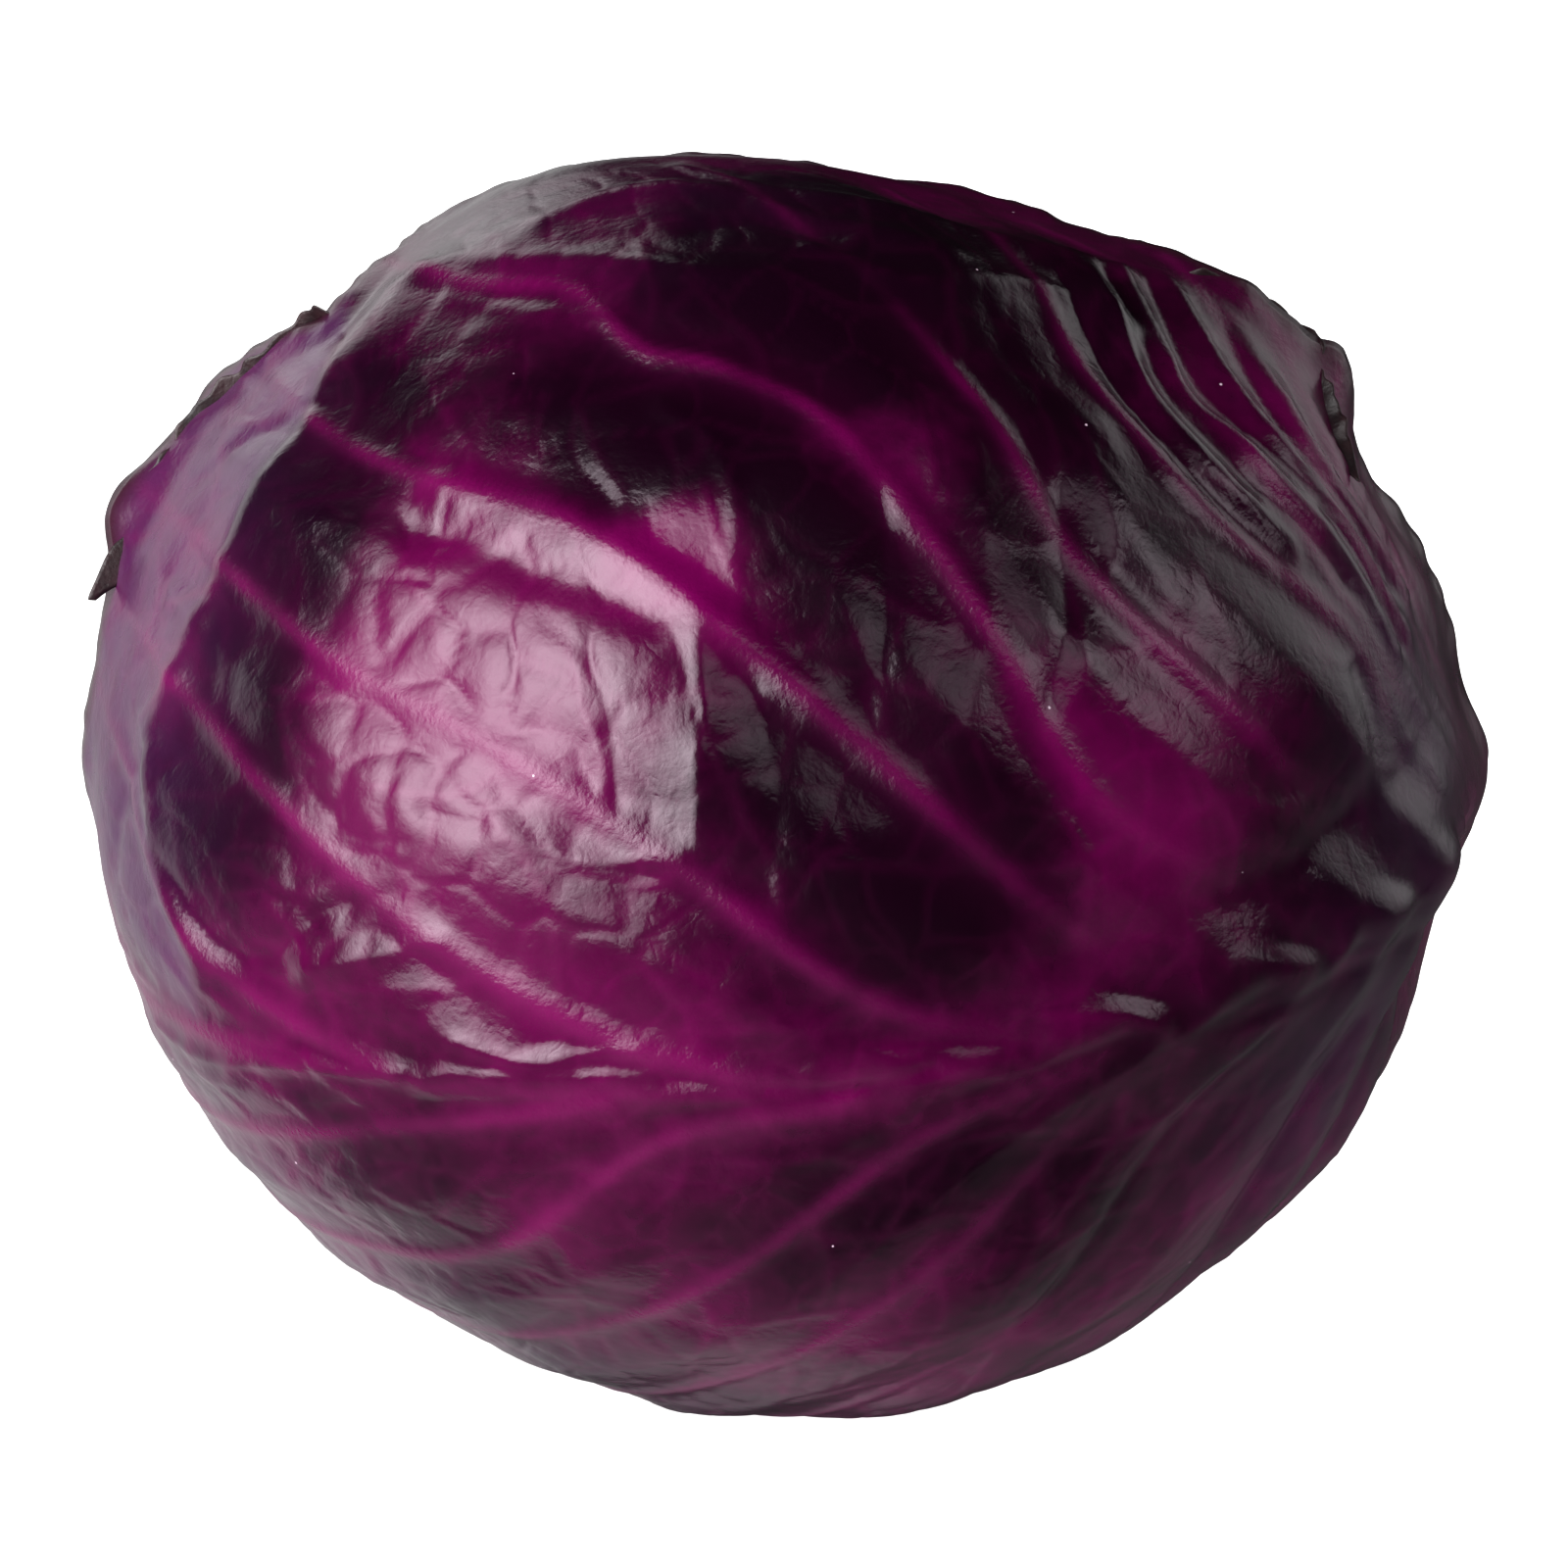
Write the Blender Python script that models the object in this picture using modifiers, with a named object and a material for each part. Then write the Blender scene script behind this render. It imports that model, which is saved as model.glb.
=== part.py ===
"""A head of red cabbage lying on its side: a cut stalk, a tightly packed inside and seven wrapper leaves.

The head's axis runs along X, from the leaf tips at -X to the stalk at +X, with +Z up and the front at -Y.
Every leaf is a shell that follows the head at its own depth. All of them are cut from one set of
directions about the head's middle, so each facet of a leaf lies straight over a facet of the leaf inside
it and the air between them stays even.
"""
import math
from collections import namedtuple

import bmesh
import bpy
from mathutils import Vector

# Driving dimensions, in metres
HEAD_LENGTH = 0.161          # over the outermost leaf, from the tips to the base, without the stalk
HEAD_WIDTH = 0.149           # over the outermost leaf, from front to back
LEAF_THICKNESS = 0.0012
LEAF_GAP = 0.00035           # air between a leaf and the one inside it
FLAT_DEPTH = 0.004           # how far the underside is pressed flat by the head's weight
STALK_WIDTH = 0.029
STALK_TAPER = 0.9            # width at the cut end against the width where it meets the head
STALK_PROUD = 0.003          # how far the cut end stands out of the leaf bases
STALK_SEAT_DEPTH = 0.004     # how far the packed leaves are cut back flat where the stalk meets them
STALK_SIDES = 32
STALK_BEVEL = 0.0012
SPHERE_DETAIL = 4            # times the first icosahedron is divided into the shared directions
OUTLINE_SNAP = 0.035         # a direction this near the outline, in outline units, counts as on it

# A leaf's outline is laid out on its own face, in degrees of arc about the head's middle: along the
# midrib (towards the stalk) and across it. Turn is how far round the axis its midrib lies, from the
# front over the top. Each leaf grows 137.5 degrees round from the next one out.
Leaf = namedtuple("Leaf", "name turn centre half_size midrib_height colour roughness")
LEAVES = (                   # from the inside out
    Leaf("top_leaf", 105.0, (-10, 0), (88, 82), 0.0015, (0.09, 0.012, 0.055, 1), 0.45),
    Leaf("lower_front_leaf", 327.5, (-12, 0), (88, 82), 0.0015, (0.08, 0.010, 0.050, 1), 0.45),
    Leaf("back_leaf", 190.0, (-11, 3), (90, 86), 0.0020, (0.08, 0.012, 0.052, 1), 0.42),
    Leaf("upper_front_leaf", 52.5, (-12, -2), (90, 84), 0.0015, (0.07, 0.010, 0.046, 1), 0.42),
    Leaf("under_leaf", 275.0, (-12, -4), (90, 86), 0.0025, (0.07, 0.012, 0.048, 1), 0.40),
    Leaf("upper_back_leaf", 137.5, (-13, 3), (91, 84), 0.0035, (0.06, 0.010, 0.042, 1), 0.38),
    Leaf("front_leaf", 0.0, (-15, 2), (92, 116), 0.0045, (0.05, 0.006, 0.034, 1), 0.35),
)
MIDRIB_REACH = 0.62          # part of the leaf's length over which the midrib stands proud
MIDRIB_WIDTH = 9.0           # half width at the base, in degrees of arc
MIDRIB_THIN_WIDTH = 3.5      # half width at its far end
MIDRIB_ENDS = (80.0, 97.0)   # degrees of arc from the leaf's middle over which its base dies away

# Swells and hollows of the whole head: degrees from the stalk, turn, spread in degrees, height
SWELLS = (
    (140, 141, 22, 0.0042),   # shoulder behind the leaf tips
    (124, 120, 9, -0.0008),   # notch above that shoulder
    (42, 84, 13, 0.0044),     # shoulder above the stalk
    (33, 62, 9, -0.0026),     # hollow between that shoulder and the petiole
    (31, -12, 8, -0.0048),    # hollow beside the petiole
    (55, -42, 18, 0.0010),    # full cheek low at the front
    (106, 112, 14, 0.0030),   # crest along the top
    (68, 98, 18, -0.0029),    # dip in the crest
    (130, -70, 28, -0.0024),  # flatter below the leaf tips
    (100, -20, 40, 0.0010),   # rounder front
    (120, 200, 30, -0.0020),  # flatter back
)

STEP = LEAF_THICKNESS + LEAF_GAP
FLAT_HEIGHT = HEAD_WIDTH / 2 - FLAT_DEPTH
PACKED_INSET = len(LEAVES) * STEP
STALK_SEAT_X = HEAD_LENGTH / 2 - PACKED_INSET - STALK_SEAT_DEPTH


def direction(from_stalk, turn):
    """Unit vector this many degrees from the stalk's end of the axis, turned from the front over the top."""
    slant, spin = math.radians(from_stalk), math.radians(turn)
    return Vector((math.cos(slant), -math.sin(slant) * math.cos(spin), math.sin(slant) * math.sin(spin)))


def head_radius(way):
    """Distance from the head's middle to the outside of the outermost leaf, before it is pressed flat."""
    across = way.y ** 2 + way.z ** 2
    radius = 1 / math.sqrt((way.x / (HEAD_LENGTH / 2)) ** 2 + across / (HEAD_WIDTH / 2) ** 2)
    for from_stalk, turn, spread, height in SWELLS:
        apart = way.angle(direction(from_stalk, turn))
        radius += height * math.exp(-(apart / math.radians(spread)) ** 2)
    return radius


def leaf_place(leaf, way):
    """A direction laid out on the leaf's face: degrees of arc along its midrib and across it."""
    outwards = direction(90, leaf.turn)
    upwards = direction(90, leaf.turn + 90)
    apart = math.degrees(way.angle(outwards))
    spread = Vector((way.x, way.dot(upwards)))
    if spread.length == 0:
        return Vector((0, 0))
    return spread.normalized() * apart


def outside_outline(leaf, way):
    """Below zero inside the leaf's outline, zero on it and above zero outside it."""
    place = leaf_place(leaf, way)
    along = (place.x - leaf.centre[0]) / leaf.half_size[0]
    across = (place.y - leaf.centre[1]) / leaf.half_size[1]
    value = along ** 2 + across ** 2 - 1
    return 0.0 if abs(value) < OUTLINE_SNAP else value


def midrib_relief(leaf, way):
    """How far the leaf's midrib lifts its outer face, thick at the base and fading towards the tip."""
    place = leaf_place(leaf, way)
    base = leaf.centre[0] + leaf.half_size[0]
    run = (base - place.x) / (2 * leaf.half_size[0] * MIDRIB_REACH)
    if run >= 1:
        return 0.0
    fade = 1 - max(run, 0.0)
    past = (place.length - MIDRIB_ENDS[0]) / (MIDRIB_ENDS[1] - MIDRIB_ENDS[0])
    width = MIDRIB_THIN_WIDTH + (MIDRIB_WIDTH - MIDRIB_THIN_WIDTH) * fade
    height = leaf.midrib_height * fade * (1 - min(max(past, 0.0), 1.0))
    return height * math.exp(-(place.y / width) ** 2)


def pressed(way, radius, inset):
    """Point at this radius, held above the flat of a layer this far inside the outermost leaf."""
    floor = FLAT_HEIGHT - inset
    if radius * way.z < -floor:
        radius = -floor / way.z
    return way * radius


def layer_point(way, inset, layers_inside):
    """Point on a surface this far inside the outermost leaf, lifted by the midribs that it lies over."""
    lift = sum(midrib_relief(leaf, way) for leaf in LEAVES[:layers_inside])
    return pressed(way, head_radius(way) - inset + lift, inset)


def add_piece(name, mesh_data, parts, root):
    piece = bpy.data.objects.new(name, mesh_data)
    parts.objects.link(piece)
    piece.parent = root
    return piece


def give_material(piece, colour, roughness):
    material = bpy.data.materials.new(piece.name + "_skin")
    material.use_nodes = True
    shader = material.node_tree.nodes["Principled BSDF"]
    shader.inputs["Base Color"].default_value = colour
    shader.inputs["Roughness"].default_value = roughness
    shader.inputs["Metallic"].default_value = 0.0
    piece.data.materials.append(material)


def finish_mesh(bm, name):
    bmesh.ops.triangulate(bm, faces=bm.faces[:])
    bmesh.ops.recalc_face_normals(bm, faces=bm.faces[:])
    mesh_data = bpy.data.meshes.new(name)
    bm.to_mesh(mesh_data)
    bm.free()
    mesh_data.shade_smooth()
    mesh_data.set_sharp_from_angle(angle=math.radians(50))
    return mesh_data


def shared_directions():
    bm = bmesh.new()
    bmesh.ops.create_icosphere(bm, subdivisions=SPHERE_DETAIL, radius=1)
    return bm


def cut_to_outline(bm, leaf, outer, inner):
    """Cut the sphere of directions along the leaf's outline; new points lie on the facets they divide."""
    beyond = {vert: outside_outline(leaf, vert.co.normalized()) for vert in bm.verts}
    crossing = [edge for edge in bm.edges if beyond[edge.verts[0]] * beyond[edge.verts[1]] < 0]
    for edge in crossing:
        first, second = edge.verts
        part_way = beyond[first] / (beyond[first] - beyond[second])
        ends = [(first[layer].copy(), second[layer].copy()) for layer in (outer, inner)]
        _, new_vert = bmesh.utils.edge_split(edge, first, part_way)
        for layer, (start, end) in zip((outer, inner), ends):
            new_vert[layer] = start.lerp(end, part_way)
        beyond[new_vert] = 0.0
    bmesh.ops.connect_verts(bm, verts=[vert for vert in bm.verts if beyond[vert] == 0.0])
    bmesh.ops.delete(bm, geom=[vert for vert in bm.verts if beyond[vert] > 0], context="VERTS")
    loose_ends = [vert for vert in bm.verts if not vert.link_faces]
    bmesh.ops.delete(bm, geom=loose_ends, context="VERTS")


def make_leaf(number, leaf, parts, root):
    """A shell one leaf thick: the outline cut from the shared directions, then grown outwards."""
    inset = (len(LEAVES) - 1 - number) * STEP
    bm = shared_directions()
    outer = bm.verts.layers.float_vector.new("outer")
    inner = bm.verts.layers.float_vector.new("inner")
    for vert in bm.verts:
        way = vert.co.normalized()
        vert[outer] = layer_point(way, inset, number + 1)
        vert[inner] = layer_point(way, inset + LEAF_THICKNESS, number)
    cut_to_outline(bm, leaf, outer, inner)
    inside = bm.verts[:]
    grown = bmesh.ops.extrude_face_region(bm, geom=bm.faces[:], use_keep_orig=True)["geom"]
    for vert in inside:
        vert.co = vert[inner]
    for vert in (item for item in grown if isinstance(item, bmesh.types.BMVert)):
        vert.co = vert[outer]
    piece = add_piece(leaf.name, finish_mesh(bm, leaf.name), parts, root)
    give_material(piece, leaf.colour, leaf.roughness)
    return piece


def make_packed_head(parts, root):
    """The tight leaves inside the wrappers, as one solid with a flat seat for the stalk."""
    bm = shared_directions()
    for vert in bm.verts:
        point = layer_point(vert.co.normalized(), PACKED_INSET, 0)
        if point.x > STALK_SEAT_X:
            point *= STALK_SEAT_X / point.x
        vert.co = point
    piece = add_piece("packed_head", finish_mesh(bm, "packed_head"), parts, root)
    give_material(piece, (0.10, 0.016, 0.065, 1), 0.5)
    return piece


def make_stalk(parts, root):
    """The cut stump, from its seat on the packed leaves to just outside the leaf bases."""
    start = STALK_SEAT_X + LEAF_GAP
    end = HEAD_LENGTH / 2 + STALK_PROUD
    bm = bmesh.new()
    bmesh.ops.create_cone(bm, cap_ends=True, segments=STALK_SIDES, radius1=STALK_WIDTH / 2,
                          radius2=STALK_WIDTH / 2 * STALK_TAPER, depth=end - start)
    mesh_data = bpy.data.meshes.new("stalk")
    bm.to_mesh(mesh_data)
    bm.free()
    mesh_data.shade_smooth()
    mesh_data.set_sharp_from_angle(angle=math.radians(50))
    piece = add_piece("stalk", mesh_data, parts, root)
    piece.location = ((start + end) / 2, 0, 0)
    piece.rotation_euler = (0, math.radians(90), 0)
    bevel = piece.modifiers.new("worn_cut", "BEVEL")
    bevel.width = STALK_BEVEL
    bevel.segments = 2
    give_material(piece, (0.55, 0.45, 0.36, 1), 0.7)
    return piece


def stand_on_floor(root, pieces):
    """Put the middle of the whole head's box over the origin, with its flat underside at zero."""
    bpy.context.view_layer.update()
    corners = [piece.matrix_world @ vert.co for piece in pieces for vert in piece.data.vertices]
    lowest = [min(corner[axis] for corner in corners) for axis in range(3)]
    highest = [max(corner[axis] for corner in corners) for axis in range(3)]
    root.location = (-(lowest[0] + highest[0]) / 2, -(lowest[1] + highest[1]) / 2, -lowest[2])


def main():
    for old in list(bpy.data.objects):
        bpy.data.objects.remove(old, do_unlink=True)
    parts = bpy.data.collections.new("cabbage_head")
    bpy.context.scene.collection.children.link(parts)
    root = bpy.data.objects.new("cabbage_middle", None)
    parts.objects.link(root)
    pieces = [make_packed_head(parts, root), make_stalk(parts, root)]
    pieces += [make_leaf(number, leaf, parts, root) for number, leaf in enumerate(LEAVES)]
    stand_on_floor(root, pieces)


main()
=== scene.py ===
import math
from collections import namedtuple

import bmesh
import bpy
import numpy as np
from mathutils import Matrix, Vector
from mathutils.kdtree import KDTree


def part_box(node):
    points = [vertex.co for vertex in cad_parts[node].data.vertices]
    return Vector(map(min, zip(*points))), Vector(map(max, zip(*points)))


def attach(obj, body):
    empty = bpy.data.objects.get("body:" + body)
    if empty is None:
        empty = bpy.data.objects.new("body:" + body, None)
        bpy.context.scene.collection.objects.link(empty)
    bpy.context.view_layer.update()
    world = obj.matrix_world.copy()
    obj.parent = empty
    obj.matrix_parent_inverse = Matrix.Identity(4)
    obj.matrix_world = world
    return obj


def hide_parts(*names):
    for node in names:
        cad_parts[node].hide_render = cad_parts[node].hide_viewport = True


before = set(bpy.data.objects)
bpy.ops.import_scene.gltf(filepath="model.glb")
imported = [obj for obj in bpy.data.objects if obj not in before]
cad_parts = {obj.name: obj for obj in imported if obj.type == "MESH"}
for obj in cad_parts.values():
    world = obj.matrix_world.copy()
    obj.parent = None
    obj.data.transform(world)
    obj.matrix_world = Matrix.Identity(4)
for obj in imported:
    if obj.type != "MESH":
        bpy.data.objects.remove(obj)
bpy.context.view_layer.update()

# ---- measures of the head, in metres
# X runs from the leaf tips to the stalk, the front is at -Y. Same driving sizes as the frame's model.
HEAD_LENGTH = 0.161
HEAD_WIDTH = 0.149
LEAF_STEP = 0.00155          # from one leaf's outer face to the next
LEAF_SKIN = 0.0009           # thickness of a leaf between its ribs
TUCK = 0.0030                # how far a leaf sinks where another lies over it
STALK_PROUD = 0.003
STALK_WIDTH = 0.029
MM = 0.001
REACH = 0.0745               # middling radius, turns arc on the head into a distance

stalk_low, stalk_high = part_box("stalk")
MIDDLE = np.array([
    stalk_high[0] - STALK_PROUD - HEAD_LENGTH / 2,
    (stalk_low[1] + stalk_high[1]) / 2,
    (stalk_low[2] + stalk_high[2]) / 2,
])
FLAT_HEIGHT = MIDDLE[2]      # the rest face is at zero

# degrees from the stalk, turn from the front over the top, spread in degrees, height
SWELLS = (
    (140, 141, 22, 0.0042),
    (124, 120, 9, -0.0008),
    (42, 84, 13, 0.0044),
    (33, 62, 9, -0.0026),
    (31, -12, 8, -0.0048),
    (55, -42, 18, 0.0010),
    (106, 112, 14, 0.0030),
    (68, 98, 18, -0.0029),
    (130, -70, 28, -0.0024),
    (100, -20, 40, 0.0010),
    (120, 200, 30, -0.0020),
)

# A leaf's outline and ribs are laid out on its face, in degrees of arc along its midrib, towards the
# stalk, and across it. Turn is where the midrib lies round the axis, from the front over the top.
Leaf = namedtuple("Leaf", "name turn centre half_size midrib_height")
LEAVES = (                   # from the inside out
    Leaf("top_leaf", 105.0, (-10, 0), (88, 82), 0.0015),
    Leaf("lower_front_leaf", 327.5, (-12, 0), (88, 82), 0.0015),
    Leaf("back_leaf", 190.0, (-11, 3), (90, 86), 0.0020),
    Leaf("upper_front_leaf", 52.5, (-12, -2), (90, 84), 0.0015),
    Leaf("under_leaf", 275.0, (-12, -4), (90, 86), 0.0025),
    Leaf("upper_back_leaf", 137.5, (-13, 3), (91, 84), 0.0035),
    Leaf("front_leaf", 0.0, (-15, 2), (92, 116), 0.0045),
)
FRONT = LEAVES[-1]
MIDRIB_REACH = 0.62
MIDRIB_WIDTH = 9.0
MIDRIB_THIN_WIDTH = 3.5
MIDRIB_ENDS = (80.0, 97.0)   # degrees of arc from the leaf's middle over which its base dies away

FINE = 1.0
ARC_DEGREES = 57.3           # in a distance of one radius
LINE_STEPS = 260             # points along a rib or fold
VEIN_STEPS = 44
SCRAP_STEPS = 600
UNDER_FACE = -0.05           # a slab's points lower than this are its inner face
CELL_SIZE = 0.0070           # puffed cells, in metres, and the small ones on them
SMALL_CELL_SIZE = 0.0034


def new_object(name, data):
    """An object at the origin, linked to the scene."""
    item = bpy.data.objects.new(name, data)
    bpy.context.scene.collection.objects.link(item)
    return item


def finish_mesh(bm, name):
    mesh_data = bpy.data.meshes.new(name)
    bm.to_mesh(mesh_data)
    bm.free()
    return mesh_data


def finish_piece(name, mesh_data):
    mesh_data.shade_smooth()
    return new_object(name, mesh_data)


# ---- directions about the head's middle
def direction(from_stalk, turn):
    slant, spin = math.radians(from_stalk), math.radians(turn)
    return np.array([math.cos(slant), -math.sin(slant) * math.cos(spin), math.sin(slant) * math.sin(spin)])


def apart(ways, way):
    """Angle in degrees between each of these directions and one."""
    return np.degrees(np.arccos(np.clip(ways @ way, -1, 1)))


def head_radius(ways):
    across = ways[:, 1] ** 2 + ways[:, 2] ** 2
    radius = 1 / np.sqrt((ways[:, 0] / (HEAD_LENGTH / 2)) ** 2 + across / (HEAD_WIDTH / 2) ** 2)
    for from_stalk, turn, spread, height in SWELLS:
        radius += height * np.exp(-(apart(ways, direction(from_stalk, turn)) / spread) ** 2)
    return radius


def place_to_way(leaf, place):
    """Directions of places on the leaf's face, given in degrees along and across."""
    outwards = direction(90, leaf.turn)
    upwards = direction(90, leaf.turn + 90)
    arc = np.hypot(place[:, 0], place[:, 1])
    share = np.sin(np.radians(arc)) / np.maximum(arc, 1e-9)
    flat = place[:, :1] * np.array([1.0, 0, 0]) + place[:, 1:] * upwards
    return np.cos(np.radians(arc))[:, None] * outwards + flat * share[:, None]


def way_to_place(leaf, ways):
    outwards = direction(90, leaf.turn)
    upwards = direction(90, leaf.turn + 90)
    flat = np.stack([ways[:, 0], ways @ upwards], axis=1)
    length = np.maximum(np.hypot(flat[:, 0], flat[:, 1]), 1e-9)
    return flat / length[:, None] * apart(ways, outwards)[:, None]


def spots(ways, leaf, rows):
    """Sum of soft round spots: place along, place across, spread in degrees, amount."""
    total = np.zeros(len(ways))
    for along, across, spread, amount in rows:
        way = place_to_way(leaf, np.array([[along, across]], dtype=float))[0]
        total += amount * np.exp(-(apart(ways, way) / spread) ** 2)
    return total


# where the front leaf reaches past its plain oval, or stops short: swing in degrees, spread, share
FRONT_REACH = ((57, 12, 0.10), (33, 10, -0.08), (128, 9, -0.13), (163, 14, -0.05))


def outline_reach(leaf, swing):
    """How far the leaf reaches this way round its outline, as a share of the plain oval."""
    reach = np.ones(len(swing))
    if leaf.name == "front_leaf":
        for middle, spread, share in FRONT_REACH:
            off = (np.degrees(swing) - middle + 180) % 360 - 180
            reach += share * np.exp(-(off / spread) ** 2)
    return reach


def outline_share(leaf, place):
    """0 at the outline's centre and 1 on the outline."""
    along = (place[:, 0] - leaf.centre[0]) / leaf.half_size[0]
    across = (place[:, 1] - leaf.centre[1]) / leaf.half_size[1]
    return np.hypot(along, across) / outline_reach(leaf, np.arctan2(across, along))


def smooth_step(value, low, high):
    share = np.clip((value - low) / (high - low), 0, 1)
    return share * share * (3 - 2 * share)


def midrib_lift(leaf, place):
    base = leaf.centre[0] + leaf.half_size[0]
    run = (base - place[:, 0]) / (2 * leaf.half_size[0] * MIDRIB_REACH)
    fade = 1 - np.clip(run, 0, 1)
    width = MIDRIB_THIN_WIDTH + (MIDRIB_WIDTH - MIDRIB_THIN_WIDTH) * fade
    past = (np.hypot(place[:, 0], place[:, 1]) - MIDRIB_ENDS[0]) / (MIDRIB_ENDS[1] - MIDRIB_ENDS[0])
    height = leaf.midrib_height * fade * (1 - np.clip(past, 0, 1))
    return height * np.exp(-(place[:, 1] / width) ** 2)


RIPPLE_WAVES = 28


def ripple(ways, wavelength, seed):
    """A smooth uneven field over the head, about -1 to 1, with this wavelength in metres."""
    rng = np.random.default_rng(seed)
    total = np.zeros(len(ways))
    for _ in range(RIPPLE_WAVES):
        heading = rng.normal(size=3)
        heading /= np.linalg.norm(heading)
        pitch = wavelength * rng.uniform(0.7, 1.4)
        total += np.sin(ways @ heading * (2 * math.pi * REACH / pitch) + rng.uniform(0, 2 * math.pi))
    return total / math.sqrt(RIPPLE_WAVES)


# ---- ribs, veins and folds
# A line on the head: directions along it, with a width and a height at each.
Line = namedtuple("Line", "ways widths heights")


def smooth_path(places, steps):
    """Points on a smooth curve through these places."""
    knots = np.array(places, dtype=float)
    knots = np.vstack([2 * knots[0] - knots[1], knots, 2 * knots[-1] - knots[-2]])
    spans = len(knots) - 3
    along = np.linspace(0, spans - 1e-9, steps)
    span = along.astype(int)
    t = (along - span)[:, None]
    a, b, c, d = (knots[span + step] for step in range(4))
    curve = 2 * b + (c - a) * t + (2 * a - 5 * b + 4 * c - d) * t ** 2 + (3 * b - a - 3 * c + d) * t ** 3
    return 0.5 * curve


def line_on(leaf, places, widths, heights, steps=LINE_STEPS):
    path = smooth_path(places, steps)
    return Line(place_to_way(leaf, path), np.linspace(*widths, steps) * MM, np.linspace(*heights, steps) * MM)


# side ribs of the front leaf, from the midrib out to the margin
FRONT_RIBS = (
    ((68, 3), (62, 22), (60, 40), (63, 56)),
    ((66, 3), (57, 26), (52, 42), (55, 62)),
    ((63, 3), (54, 22), (47, 38), (45, 52), (50, 70)),
    ((60, 3), (50, 18), (41, 36), (36, 50), (41, 68), (42, 84)),
    ((56, 3), (47, 14), (43, 27), (27, 44), (22, 57), (24, 74), (24, 96)),
    ((44, 3), (34, 14), (20, 30), (12, 40), (9, 48), (6, 62), (1, 76), (-8, 102)),
    ((30, 3), (20, 12), (8, 22), (2, 34), (-3, 46), (-9, 58), (-17, 64), (-25, 67), (-31, 76), (-44, 80),
     (-58, 92)),
    ((14, 3), (2, 14), (-11, 28), (-20, 37), (-26, 43), (-36, 50), (-48, 54), (-60, 60), (-72, 70)),
    ((0, 3), (-13, 8), (-28, 20), (-42, 29), (-58, 36), (-76, 46), (-92, 52)),
    ((-20, 1), (-34, 5), (-50, 13), (-64, 22), (-80, 31), (-98, 38)),
    ((-52, -2), (-66, 1), (-78, 8), (-88, 18), (-100, 26)),
    ((62, 1), (55, -14), (47, -30), (38, -60)),
    ((56, 1), (47, -12), (38, -27), (22, -70)),
    ((44, 1), (35, -8), (26, -24), (8, -52), (-4, -80)),
    ((34, 1), (19, -9), (9, -24), (-6, -43), (-22, -76)),
    ((22, 1), (7, -5), (-2, -14), (-15, -29), (-34, -58), (-46, -76)),
    ((8, 1), (-9, -5), (-22, -17), (-34, -30), (-56, -52), (-68, -64)),
    ((-14, 0), (-30, -5), (-44, -21), (-56, -30), (-76, -44), (-88, -50)),
    ((-34, -1), (-50, -7), (-66, -17), (-90, -34)),
    ((-62, -5), (-76, -8), (-90, -14), (-102, -20)),
)
FRONT_MIDRIB = ((77, 2), (48, 3), (10, 3), (-20, 1), (-48, -2), (-68, -5), (-104, -14))

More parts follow.
